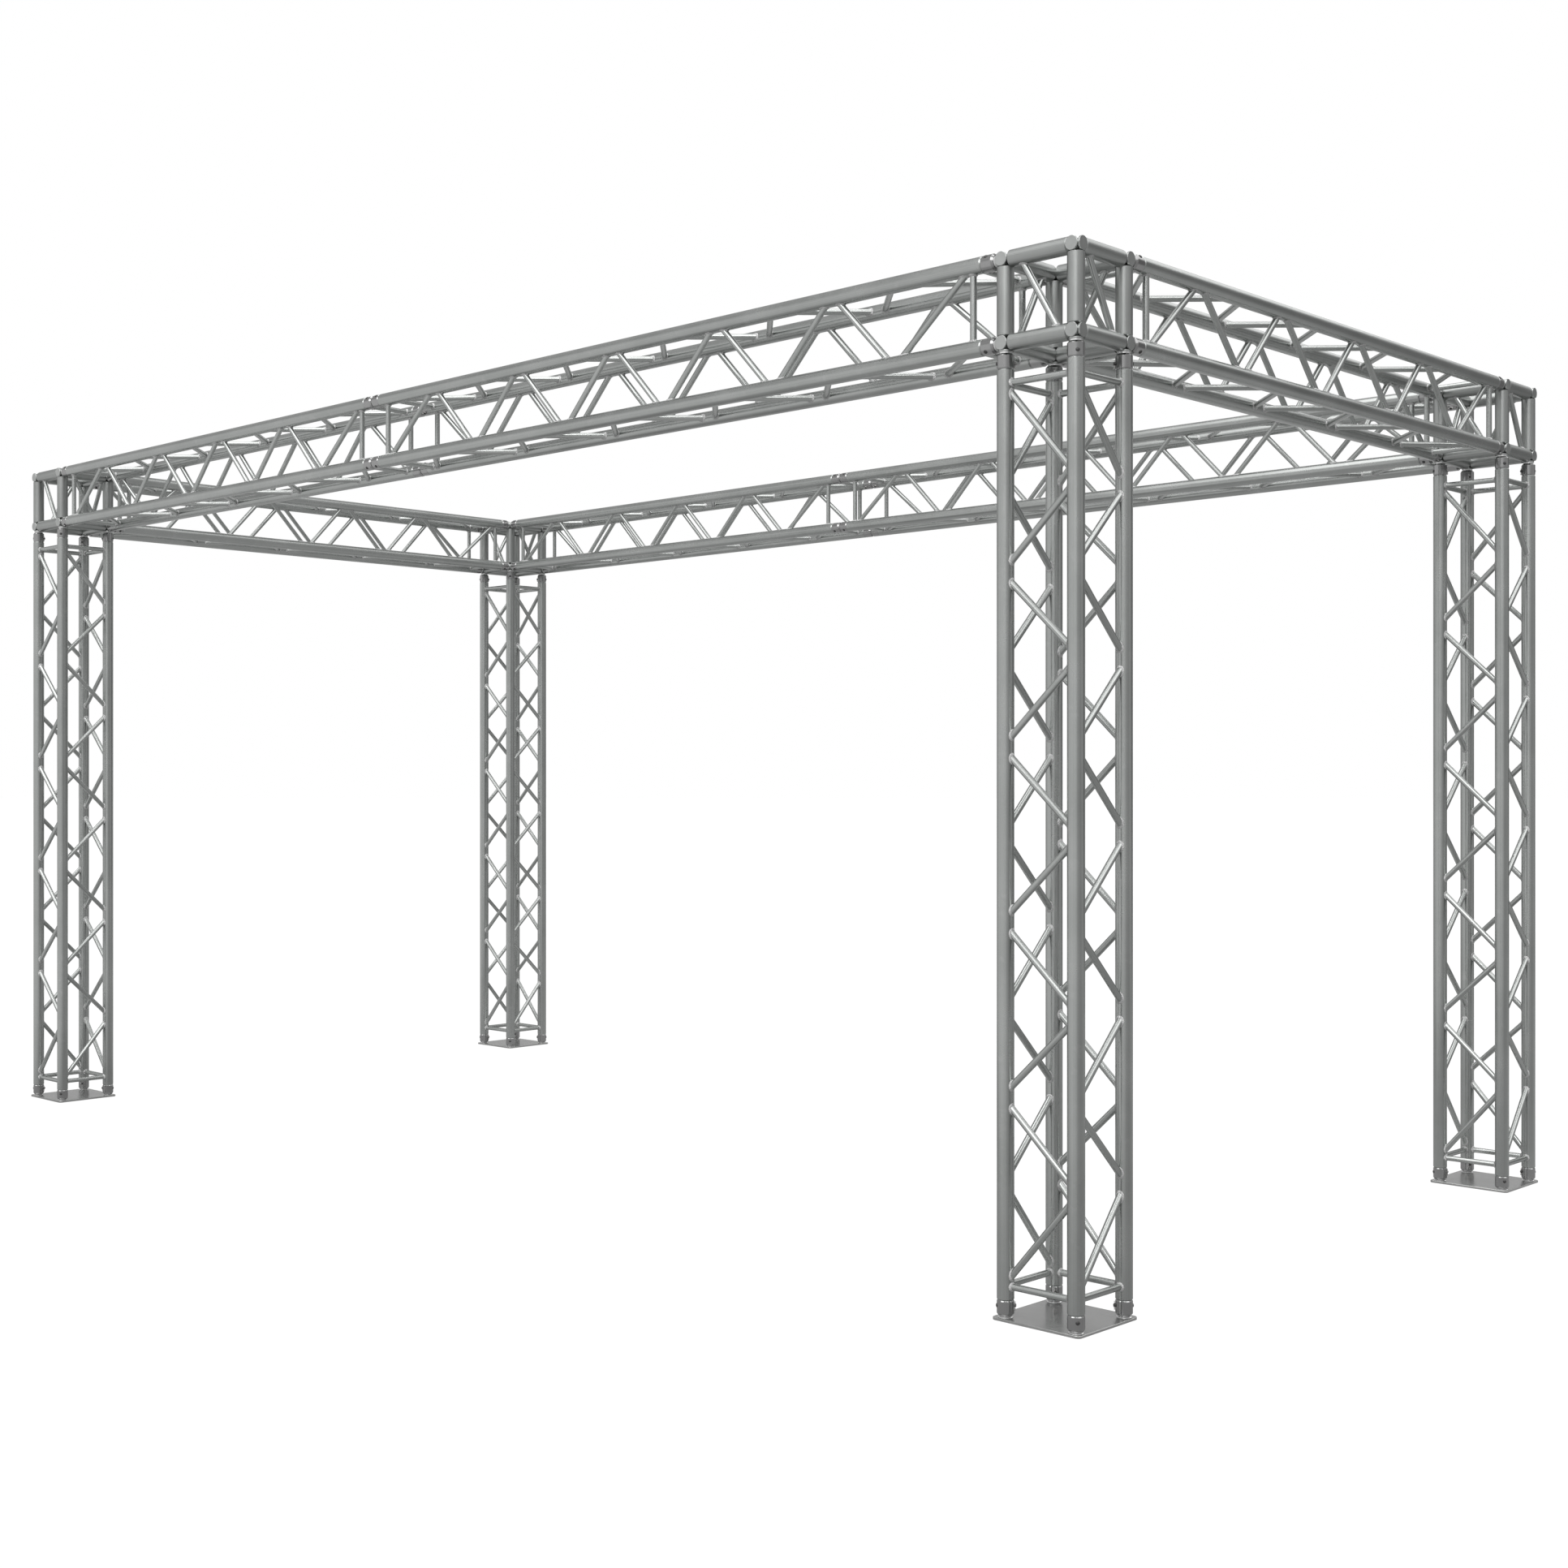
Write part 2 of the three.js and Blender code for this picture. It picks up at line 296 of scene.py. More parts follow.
def extruded_tube(name, level, dullness, relief=0.0, receivers=False):
    """Mill-finished tube: die lines along the run, dull clouds and rubbed patches.
    A chord's ends, out to the seam, are turned and smoother, and painted darker: painted shade for
    the dark band between the seam and the joint."""
    finish = Finish(name, metallic=1.0)
    graph = finish.graph
    lines = graph.streaks(finish.grain, DIE_LINES, detail=2.0)
    clouds = graph.noise(finish.place, TUBE_CLOUDS, detail=4.0)
    rubbed = graph.noise(finish.place, RUBBED_PATCHES, detail=5.0, roughness=0.7)
    rubbed = graph.spread(rubbed, 0.56, 0.72)
    tone = graph.spread(lines * 0.45 + clouds * 0.55, *MIDDLE_TONES)
    dark = grey(level * TUBE_DARK, warmth=-0.006, green=0.030)
    light = grey(level * TUBE_LIGHT, warmth=-0.004, green=0.022)
    color = graph.mix(rubbed * 0.3, graph.mix(tone, dark, light), grey(level * TUBE_RUBBED))
    roughness = dullness + clouds * 0.12 - rubbed * 0.06
    if receivers:
        from_end = graph.node("ShaderNodeSeparateXYZ", {}, [finish.grain], "Z")
        turned = graph.spread(from_end, SEAM_FROM_END - TURNED_FADE, SEAM_FROM_END, 1.0, 0.0)
        # The turned ends take a darker tone here: painted shade, while their lower roughness is the
        # real turned finish.
        color = graph.mix(turned, color, grey(level * TUBE_TURNED_SHADE))
        roughness = roughness - turned * 0.1
    return finish.shade(color, roughness, lines if relief else None, relief)


def weld_metal():
    """Weld beads: stacked ripples round the brace, brighter than the tube, dulled in random sooty
    patches.
    """
    finish = Finish("weld_bead_aluminium", metallic=0.85)
    graph = finish.graph
    across = graph.node("ShaderNodeSeparateXYZ", {}, [finish.grain], "X")
    aside = graph.node("ShaderNodeSeparateXYZ", {}, [finish.grain], "Y")
    ripples = (across.math("ARCTAN2", aside) * WELD_RIPPLES).math("SINE")
    soot = graph.noise(finish.place, WELD_SOOT, detail=4.0)
    color = graph.mix(graph.spread(soot, 0.35, 0.7), grey(0.42), grey(0.66))
    return finish.shade(color, 0.38 + soot * 0.2, ripples * 0.5 + soot * 0.4, WELD_RELIEF)


def cast_metal():
    """The corner cubes' cores and bosses: satin, faintly pitted."""
    finish = Finish("cast_corner_aluminium", metallic=1.0)
    graph = finish.graph
    pits = graph.noise(finish.place, CAST_PITS)
    clouds = graph.noise(finish.place, CAST_CLOUDS, detail=4.0)
    dark = grey(0.43, warmth=-0.004, green=0.024)
    light = grey(0.52, warmth=-0.004, green=0.018)
    color = graph.mix(graph.spread(clouds, *MIDDLE_TONES), dark, light)
    return finish.shade(color, 0.26 + clouds * 0.12, pits, CAST_RELIEF)


def turned_metal():
    """Couplers: bright, with the fine rings that a lathe leaves."""
    finish = Finish("turned_coupler_aluminium", metallic=0.95)
    graph = finish.graph
    rings = graph.streaks(finish.grain, LATHE_RINGS, detail=2.0)
    color = graph.mix(rings, grey(0.78), grey(0.88))
    return finish.shade(color, 0.22 + rings * 0.1, rings, TURNED_RELIEF)


def dark_steel():
    """Tapered pins: blackened steel, worn bright where the hammer and the hole rub."""
    finish = Finish("blackened_pin_steel", metallic=0.9)
    graph = finish.graph
    wear = graph.noise(finish.grain, PIN_WEAR, detail=5.0, roughness=0.7)
    wear = graph.spread(wear, 0.55, 0.75)
    color = graph.mix(wear, grey(0.08), grey(0.34, warmth=0.02))
    return finish.shade(color, 0.5 - wear * 0.18, wear, PIN_RELIEF)


def spring_steel():
    """Spring clips: zinc-plated wire."""
    finish = Finish("zinc_clip_wire", metallic=0.95)
    graph = finish.graph
    spots = graph.noise(finish.place, ZINC_SPOTS)
    color = graph.mix(spots, grey(0.5, warmth=0.02), grey(0.72, warmth=0.01))
    return finish.shade(color, 0.24 + spots * 0.14, spots, CLIP_RELIEF)


def rolled_plate():
    """Base plates: rolling lines, scuffs and a dull bloom."""
    finish = Finish("rolled_plate_aluminium", metallic=0.85)
    graph = finish.graph
    lines = graph.streaks(finish.place, ROLLING_LINES)
    bloom = graph.noise(finish.place, PLATE_BLOOM, detail=5.0, roughness=0.65)
    scuffs = graph.streaks(finish.place, PLATE_SCUFFS, detail=6.0, roughness=0.75)
    scuffs = graph.spread(scuffs, 0.6, 0.68)
    tone = graph.spread(lines * 0.4 + bloom * 0.6, *MIDDLE_TONES)
    color = graph.mix(tone, grey(0.38, green=0.012), grey(0.5, warmth=0.004, green=0.006))
    color = graph.mix(scuffs * 0.4, color, grey(0.66))
    roughness = 0.16 + bloom * 0.14 - scuffs * 0.05
    return finish.shade(color, roughness, lines * 0.7 + scuffs * 0.5, PLATE_RELIEF)


class Shape:
    """Points, faces and grain: the place of each point in its own tube's frame."""

    def __init__(self, points, faces, grain=None):
        self.points = np.asarray(points, float)
        self.faces = faces
        self.grain = self.points if grain is None else grain

    def placed(self, matrix):
        m = np.array(matrix)
        return Shape(self.points @ m[:3, :3].T + m[:3, 3], self.faces, self.grain)

    def __add__(self, other):
        shift = len(self.points)
        faces = self.faces + [[i + shift for i in face] for face in other.faces]
        grain = np.vstack([self.grain, other.grain])
        return Shape(np.vstack([self.points, other.points]), faces, grain)


def joined(shapes):
    whole = shapes[0]
    for shape in shapes[1:]:
        whole = whole + shape
    return whole


def loft(rings, closed_run=False):
    """Faces between rings of equal count. A ring of one point is a pole."""
    starts = np.cumsum([0] + [len(ring) for ring in rings])
    faces = []
    pairs = list(zip(range(len(rings)), range(1, len(rings))))
    if closed_run:
        pairs.append((len(rings) - 1, 0))
    for low, high in pairs:
        count = max(len(rings[low]), len(rings[high]))
        for i in range(count):
            k = (i + 1) % count
            corners = [
                starts[low] + (i if len(rings[low]) > 1 else 0),
                starts[low] + (k if len(rings[low]) > 1 else 0),
                starts[high] + (k if len(rings[high]) > 1 else 0),
                starts[high] + (i if len(rings[high]) > 1 else 0),
            ]
            faces.append([int(c) for n, c in enumerate(corners) if c not in corners[:n]])
    return Shape(np.vstack(rings), faces)


def circle(sides):
    turns = np.arange(sides) * 2 * math.pi / sides
    return np.cos(turns), np.sin(turns)


def revolve(profile, sides):
    """A closed round from (radius, height) points that start and end on the axis."""
    c, s = circle(sides)
    rings = []
    for radius, height in profile:
        if radius == 0:
            rings.append(np.array([[0.0, 0.0, height]]))
        else:
            rings.append(np.column_stack([radius * c, radius * s, np.full(sides, height)]))
    return loft(rings)


def axes_matrix(across, aside, along, origin=(0, 0, 0)):
    matrix = Matrix((across, aside, along)).transposed().to_4x4()
    matrix.translation = origin
    return matrix


def along_matrix(direction, origin=(0, 0, 0)):
    """Turns +Z to a direction."""
    turn = Vector(direction).to_track_quat("Z", "Y").to_matrix().to_4x4()
    turn.translation = origin
    return turn


def made(name, shape, material):
    """A finished mesh, its place in its points, smooth but for its real edges."""
    mesh = bpy.data.meshes.new(name)
    mesh.from_pydata(shape.points.tolist(), [], shape.faces)
    mesh.attributes.new("grain", "FLOAT_VECTOR", "POINT")
    mesh.attributes["grain"].data.foreach_set("vector", shape.grain.astype(np.float32).ravel())
    mesh.materials.append(material)
    face_outwards(mesh)
    smooth(mesh)
    thing = bpy.data.objects.new(name, mesh)
    bpy.context.scene.collection.objects.link(thing)
    return thing


def face_outwards(mesh):
    edit = bmesh.new()
    edit.from_mesh(mesh)
    bmesh.ops.recalc_face_normals(edit, faces=edit.faces)
    edit.to_mesh(mesh)
    edit.free()


def smooth(mesh):
    mesh.shade_smooth()
    mesh.set_sharp_from_angle(angle=SHARP_ANGLE)


def end_profile():
    """One chord end from the bottom of its socket out to the tube, as (radius, height)."""
    return [
        (0, SOCKET_DEPTH),
        (SOCKET_TIP_RADIUS, SOCKET_DEPTH),
        (MOUTH_RADIUS, MOUTH_CHAMFER),
        (MOUTH_RADIUS + MOUTH_CHAMFER, 0),
        (END_FACE_RADIUS, 0),
        (CHORD_RADIUS, END_BEVEL),
        (CHORD_RADIUS, SEAM_FROM_END - SEAM_WIDTH / 2),
        (CHORD_RADIUS - SEAM_DEPTH, SEAM_FROM_END),
        (CHORD_RADIUS, SEAM_FROM_END + SEAM_WIDTH / 2),
    ]


def chord(length):
    """A chord tube, whose grain counts its height from the nearest end."""
    near = end_profile()
    far = [(radius, length - height) for radius, height in reversed(near)]
    tube = revolve(near + far, CHORD_SIDES)
    heights = tube.points[:, 2]
    from_end = np.minimum(heights, length - heights)
    return Shape(tube.points, tube.faces, np.column_stack([tube.points[:, :2], from_end]))


def brace(rise):
    """A brace between two chords that are a chord spacing apart along X, coped to
    their rounds, and its two weld beads. It climbs by rise from -X to +X."""
    slope = math.atan2(rise, CHORD_SPACING)
    lean, climb = math.cos(slope), math.sin(slope)
    length = CHORD_SPACING / lean
    own = axes_matrix((0, 1, 0), (-climb, 0, lean), (lean, 0, climb), (-HALF_SPACING, 0, -rise / 2))
    c, s = circle(BRACE_SIDES)

    def cope(radius, end):
        depth = np.sqrt(radius**2 - (BRACE_RADIUS * c) ** 2)
        shift = BRACE_RADIUS * s * climb
        run = (depth + shift) / lean if end == 0 else length - (depth - shift) / lean
        return np.column_stack([BRACE_RADIUS * c, BRACE_RADIUS * s, run])

    first, last = cope(CHORD_RADIUS - COPE_SINK, 0), cope(CHORD_RADIUS - COPE_SINK, 1)
    caps = [np.array([[0, 0, ring[:, 2].mean()]]) for ring in (first, last)]
    tube = loft([caps[0], first, last, caps[1]]).placed(own)
    beads = []
    for end, chord_x in ((0, -HALF_SPACING), (1, HALF_SPACING)):
        grain = cope(CHORD_RADIUS, end)
        meet = Shape(grain, []).placed(own).points
        turn = np.array(own)[:3, :3]
        from_brace = np.column_stack([c, s, np.zeros(BRACE_SIDES)]) @ turn.T
        from_chord = (meet - [chord_x, 0, 0]) * [1, 1, 0] / CHORD_RADIUS
        away = turn[:, 2] * (1 if end == 0 else -1)
        flat = from_brace - np.sum(from_brace * from_chord, 1, keepdims=True) * from_chord
        flat /= np.linalg.norm(flat, axis=1, keepdims=True)
        lines = [
            meet - BEAD_SINK * (from_brace + from_chord),
            meet + BEAD_LEG * flat - TOE_SINK * from_chord,
            meet + BEAD_CREST * (flat + away),
            meet + BEAD_LEG * away - TOE_SINK * from_brace,
        ]
        bead = loft([np.array(line) for line in lines], closed_run=True)
        beads.append(Shape(bead.points, bead.faces, np.vstack([grain] * len(lines))))
    return tube, joined(beads)


def half_cone():
    """A coupler from the middle of its gap to its tip."""
    middle = JOINT_GAP / 2
    return [
        (CONE_MOUTH_RADIUS, middle),
        (CONE_TIP_RADIUS + CONE_CHAMFER * CONE_CHAMFER_LEAN, middle + CONE_REACH - CONE_CHAMFER),
        (CONE_TIP_RADIUS - CONE_CHAMFER, middle + CONE_REACH),
        (0, middle + CONE_REACH),
    ]


def double_coupler():
    up = half_cone()
    down = [(radius, -height) for radius, height in reversed(up)]
    return revolve(down + up, CONE_SIDES)


def half_coupler(flange):
    """A half coupler on the face that it is bolted to, with or without a flange."""
    lift = JOINT_GAP / 2
    cone = [(radius, height + lift) for radius, height in half_cone()]
    foot = [(0, 0), (CONE_MOUTH_RADIUS + CONE_FOOT_STEP, 0)]
    if flange:
        foot = [
            (0, 0),
            (FOOT_FLANGE_RADIUS, 0),
            (FOOT_FLANGE_RADIUS, FOOT_FLANGE_EDGE),
            (CONE_MOUTH_RADIUS + FOOT_FILLET, FOOT_FLANGE_HEIGHT),
            (CONE_MOUTH_RADIUS, FOOT_FLANGE_HEIGHT + FOOT_FILLET),
        ]
    return revolve(foot + cone, CONE_SIDES)


def corner_pin():
    """The pin of the chord at (-, -), its head outwards, about the chord's own axis."""
    profile = [
        (0, -PIN_TAIL_REACH),
        (PIN_TAIL_RADIUS - PIN_CHAMFER, -PIN_TAIL_REACH),
        (PIN_TAIL_RADIUS, -PIN_TAIL_REACH + PIN_CHAMFER),
        (PIN_HEAD_RADIUS, PIN_HEAD_REACH - PIN_HEAD_DOME),
    ]
    for turn in np.linspace(0, math.pi / 2, DOME_RINGS)[1:-1]:
        rise = PIN_HEAD_DOME * (math.sin(turn) - 1)
        profile.append((PIN_HEAD_RADIUS * math.cos(turn), PIN_HEAD_REACH + rise))
    profile.append((0, PIN_HEAD_REACH))
    return revolve(profile, PIN_SIDES).placed(along_matrix(DIAGONAL))


def corner_clip():
    """The spring clip through the tail of that pin: a straight leg, a bow and a
    second leg that bends round the pin."""
    path = [(-CLIP_LEG_BEFORE, 0), (CLIP_LEG_AFTER, 0)]
    for turn in np.linspace(-math.pi / 2, math.pi / 2, CLIP_BOW_POINTS)[1:]:
        out, up = math.cos(turn), 1 + math.sin(turn)
        path.append((CLIP_LEG_AFTER + CLIP_BOW_RADIUS * out, CLIP_BOW_RADIUS * up))
    path.append(CLIP_BEND)
    for turn in np.linspace(CLIP_HUG_START, math.pi - CLIP_HUG_START, CLIP_HUG_POINTS):
        path.append((CLIP_HUG_RADIUS * math.cos(turn), CLIP_HUG_RADIUS * math.sin(turn)))
    path += [(-x, y) for x, y in (CLIP_BEND, CLIP_TIP)]
    path = np.array(path)
    run = np.gradient(path, axis=0)
    run /= np.linalg.norm(run, axis=1, keepdims=True)
    c, s = circle(WIRE_SIDES)
    rings = []
    for (x, y), (dx, dy) in zip(path, run):
        side = np.outer(c, [-dy, dx, 0]) + np.outer(s, [0, 0, 1])
        rings.append(np.array([x, y, 0]) + CLIP_WIRE_RADIUS * side)
    wire = loft([rings[0].mean(0, keepdims=True), *rings, rings[-1].mean(0, keepdims=True)])
    tail = -DIAGONAL * (PIN_TAIL_REACH - CLIP_FROM_TAIL)
    return wire.placed(axes_matrix(Z, DIAGONAL.cross(Z), DIAGONAL, tail))


class GeometryGraph(Graph):
    """A geometry tree with named inputs, and the modifier that runs it."""

    def __init__(self, name, inputs):
        super().__init__(bpy.data.node_groups.new(name, "GeometryNodeTree"))
        self.names = {}
        sockets = self.tree.interface
        for label, kind in inputs.items():
            item = sockets.new_socket(label, in_out="INPUT", socket_type=kind)
            self.names[label] = item.identifier
        sockets.new_socket("Geometry", in_out="OUTPUT", socket_type="NodeSocketGeometry")

    def input(self, label):
        return self.node("NodeGroupInput", {}, (), label)

    def vector(self, x=0.0, y=0.0, z=0.0):
        return self.node("ShaderNodeCombineXYZ", {}, [x, y, z])

    def thing(self, label):
        """The mesh of an object that is given as an input."""
        kind = "GeometryNodeObjectInfo"
        return self.node(kind, {"transform_space": "ORIGINAL"}, [self.input(label)], "Geometry")

    def line(self, count, start, step):
        values = {"Count": count, "Start Location": start, "Offset": step}
        return self.node("GeometryNodeMeshLine", {"mode": "OFFSET"}, values)

    def copies(self, points, thing, turn=0.0):
        """A copy of a thing on each point, turned about Z."""
        rotation = self.node("FunctionNodeEulerToRotation", {}, [self.vector(z=turn)])
        values = {"Points": points, "Instance": thing, "Rotation": rotation}
        return self.node("GeometryNodeInstanceOnPoints", {}, values)

    def four_fold(self, thing):
        """The same thing on all four faces of the section."""
        index = self.node("GeometryNodeInputIndex")
        points = self.line(4, (0, 0, 0), (0, 0, 0))
        return self.copies(points, thing, index * (math.pi / 2))

    def join(self, parts):
        """All parts as one, by the one socket that takes several links, the last first."""
        whole = self.node("GeometryNodeJoinGeometry")
        for part in reversed(parts):
            self.tree.links.new(part.socket, whole.socket.node.inputs[0])
        return whole

    def finished(self, thing, material):
        values = {"Material": self.input(material)}
        values["Geometry"] = self.node("GeometryNodeRealizeInstances", {}, [thing])
        return self.node("GeometryNodeSetMaterial", {}, values)

    def close(self, parts):
        self.node("NodeGroupOutput", {}, [self.join(parts)])

    def run(self, name, values, place):
        """The tree's result as a plain object, set where it belongs. Of the values, the
        tree takes those that it has an input for."""
        carrier = bpy.data.objects.new(name, bpy.data.meshes.new(name))
        bpy.context.scene.collection.objects.link(carrier)
        modifier = carrier.modifiers.new(self.tree.name, "NODES")
        modifier.node_group = self.tree
        for label, identifier in self.names.items():
            modifier[identifier] = values[label]
        graph = bpy.context.evaluated_depsgraph_get()
        mesh = bpy.data.meshes.new_from_object(carrier.evaluated_get(graph))
        carrier.modifiers.remove(modifier)
        mesh.transform(place)
        smooth(mesh)
        carrier.data = mesh
        return carrier


FLOAT, COUNT = "NodeSocketFloat", "NodeSocketInt"
THING, METAL = "NodeSocketObject", "NodeSocketMaterial"


def lattice_tree():
    """One truss section along +Z. The first face is at -Y, between the chords at
    (-, -) and (+, -); its zigzag starts at the second of them."""
    sizes = ["Half spacing", "Section length", "End to rung", "First node", "Node pitch"]
    things = ["Chord", "Zigzag brace", "Zigzag welds", "End brace", "End welds"]
    things += ["Rung", "Rung welds"]
    metals = ["Tube metal", "Brace metal", "Weld metal"]
    inputs = {**dict.fromkeys(sizes, FLOAT), "Pitches": COUNT}
    inputs.update({**dict.fromkeys(things, THING), **dict.fromkeys(metals, METAL)})
    tree = GeometryGraph("truss section", inputs)
    half, length = tree.input("Half spacing"), tree.input("Section length")
    rung, node = tree.input("End to rung"), tree.input("First node")
    pitch, pitches = tree.input("Node pitch"), tree.input("Pitches")
    back = 0.0 - half
    index = tree.node("GeometryNodeInputIndex")
    zigzag = tree.line(pitches, tree.vector(0.0, back, node + pitch * 0.5), tree.vector(z=pitch))
    zigzag_turn = (index % 2.0) * math.pi
    end_turn = index * ((pitches + 1.0) % 2.0) * math.pi
    corner = tree.line(1, tree.vector(back, back), (0, 0, 0))

    def at_both_ends(height):
        return tree.line(2, tree.vector(0.0, back, height), tree.vector(z=length - height * 2.0))

    ends, rungs = at_both_ends((rung + node) * 0.5), at_both_ends(rung)

    def faces(zigzag_label, end_label, rung_label):
        parts = [
            tree.copies(zigzag, tree.thing(zigzag_label), zigzag_turn),
            tree.copies(ends, tree.thing(end_label), end_turn),
            tree.copies(rungs, tree.thing(rung_label)),
        ]
        return tree.four_fold(tree.join(parts))

    chords = tree.four_fold(tree.copies(corner, tree.thing("Chord")))
    tree.close([
        tree.finished(chords, "Tube metal"),
        tree.finished(faces("Zigzag brace", "End brace", "Rung"), "Brace metal"),
        tree.finished(faces("Zigzag welds", "End welds", "Rung welds"), "Weld metal"),
    ])
    return tree


def pin_tree():
    """The pins and clips at both ends of a section's four chords."""
    inputs = {"Half spacing": FLOAT, "Section length": FLOAT, "Pin from end": FLOAT}
    inputs.update({"Pin": THING, "Clip": THING, "Pin metal": METAL, "Clip metal": METAL})
    tree = GeometryGraph("coupler pins", inputs)
    back = 0.0 - tree.input("Half spacing")
    near, length = tree.input("Pin from end"), tree.input("Section length")
    spots = tree.line(2, tree.vector(back, back, near), tree.vector(z=length - near * 2.0))
    tree.close([
        tree.finished(tree.four_fold(tree.copies(spots, tree.thing("Pin"))), "Pin metal"),
        tree.finished(tree.four_fold(tree.copies(spots, tree.thing("Clip"))), "Clip metal"),
    ])
    return tree


def quad_tree():
    """One thing at each chord of a section, at one height."""
    inputs = {"Half spacing": FLOAT, "Height": FLOAT, "Thing": THING, "Metal": METAL}
    tree = GeometryGraph("one on each chord", inputs)
    back = 0.0 - tree.input("Half spacing")
    spot = tree.line(1, tree.vector(back, back, tree.input("Height")), (0, 0, 0))
    tree.close([tree.finished(tree.four_fold(tree.copies(spot, tree.thing("Thing"))), "Metal")])
    return tree


# How a section lies, by the axis that it runs along: two directions across, then the run
SECTION_AXES = {0: (-Y, Z, -X), 1: (Z, X, Y), 2: (X, -Y, -Z)}


def section_place(node):
    """A section's matrix and length, from where the frame has it."""
    low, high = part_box(node)
    size = high - low
    run = max(range(3), key=lambda i: size[i])
    across, aside, along = SECTION_AXES[run]
    start = (low + high) / 2 - along * (size[run] / 2)
    return axes_matrix(across, aside, along, start), size[run]


def kept(piece, nodes=()):
    """Tells the frame about a finished piece and the nodes that it stands for."""
    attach(piece, "root")
    if nodes:
        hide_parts(*nodes)


def straight_sections(metals):
    """The legs and the sections of the spans, with their pins and clips."""
    lattice, pins = lattice_tree(), pin_tree()
    end_tube, end_beads = brace(-(RUNG_TO_NODE - NODE_SPREAD / 2))
    zig_tube, zig_beads = brace(NODE_PITCH - NODE_SPREAD)
    rung_tube, rung_beads = brace(0.0)
    patterns = {
        "Zigzag brace": zig_tube,
        "Zigzag welds": zig_beads,
        "End brace": end_tube,
        "End welds": end_beads,
        "Rung": rung_tube,
        "Rung welds": rung_beads,
        "Pin": corner_pin(),
        "Clip": corner_clip(),
    }
    things = {label: made(label, shape, metals["tube"]) for label, shape in patterns.items()}
    names = [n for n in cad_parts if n.startswith("leg_") or "_span" in n]
    for node in sorted(names):
        place, length = section_place(node)
        things["Chord"] = made("Chord", chord(length), metals["tube"])
        values = {
            **things,
            "Half spacing": HALF_SPACING,
            "Section length": length,
            "End to rung": END_TO_RUNG,
            "First node": FIRST_NODE,
            "Node pitch": NODE_PITCH,
            "Pitches": round((length - 2 * FIRST_NODE) / NODE_PITCH),
            "Tube metal": metals["tube"],
            "Brace metal": metals["brace"],
            "Weld metal": metals["weld"],
            "Pin from end": PIN_FROM_END,
            "Pin metal": metals["pin"],
            "Clip metal": metals["clip"],
        }
        kept(lattice.run(node + "_weldment", values, place), [node])
        kept(pins.run(node + "_pins", values, place))
        bpy.data.objects.remove(things.pop("Chord"))
    for thing in things.values():
        bpy.data.objects.remove(thing)


def couplers(metals):
    """Half couplers on the base plates, and double couplers in the two splices."""
    tree = quad_tree()
    foot = made("foot", half_coupler(True), metals["turned"])
    double = made("double", double_coupler(), metals["turned"])
    values = {"Half spacing": HALF_SPACING, "Metal": metals["turned"]}
    for plate in sorted(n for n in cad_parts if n.startswith("base_plate_")):
        low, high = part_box(plate)
        middle = (low + high) / 2
        place = Matrix.Translation((middle.x, middle.y, high.z))
        corner = plate.removeprefix("base_plate_")
        nodes = [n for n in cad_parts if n.startswith("foot_coupler_" + corner)]
        inputs = {**values, "Height": 0.0, "Thing": foot}
        piece = tree.run("foot_couplers_" + corner, inputs, place)
        kept(piece, nodes)
    for side in ("front", "back"):
        place, length = section_place(side + "_span_right")
        height = length + JOINT_GAP / 2
        inputs = {**values, "Height": height, "Thing": double}
        piece = tree.run(side + "_splice_couplers", inputs, place)
        nodes = [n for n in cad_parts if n.startswith(side + "_splice_coupler_")]
        kept(piece, nodes)
    bpy.data.objects.remove(foot)
    bpy.data.objects.remove(double)


# The upright edges of a cube, in turn round it
RING = [(-1, -1), (1, -1), (1, 1), (-1, 1)]


def cube_boss():
    """A stub from a cube's corner out along +Z, with its neck and its flat face."""
    profile = [
        (0, 0),
        (BOSS_NECK_RADIUS, BOSS_NECK_REACH - BOSS_NECK_LENGTH),
        (BOSS_NECK_RADIUS, BOSS_NECK_REACH),
        (BOSS_RADIUS, BOSS_NECK_REACH + BOSS_RADIUS - BOSS_NECK_RADIUS),
        (BOSS_RADIUS, BOSS_REACH - BOSS_EDGE),
        (BOSS_RADIUS - BOSS_EDGE, BOSS_REACH),
        (0, BOSS_REACH),
    ]
    return revolve(profile, CHORD_SIDES)


def cube_bar():
    """A bar from one corner of a cube to the next, with a plug in both ends."""
    near = [
        (0, CUBE_BAR_START - CUBE_BAR_PLUG),
        (BOSS_NECK_RADIUS, CUBE_BAR_START - CUBE_BAR_PLUG),
        (BOSS_NECK_RADIUS, CUBE_BAR_START),
        (CUBE_BAR_END_RADIUS, CUBE_BAR_START),
        (CHORD_RADIUS, CUBE_BAR_START + CHORD_RADIUS - CUBE_BAR_END_RADIUS),
    ]
    far = [(radius, CHORD_SPACING - height) for radius, height in reversed(near)]
    return revolve(near + far, CHORD_SIDES)


def cube_core():
    """The ball that a cube's bosses and bars meet in."""
    turns = np.linspace(-math.pi / 2, math.pi / 2, BALL_RINGS)[1:-1]
    side = [(BALL_RADIUS * math.cos(t), BALL_RADIUS * math.sin(t)) for t in turns]
    return revolve([(0, -BALL_RADIUS), *side, (0, BALL_RADIUS)], CONE_SIDES)


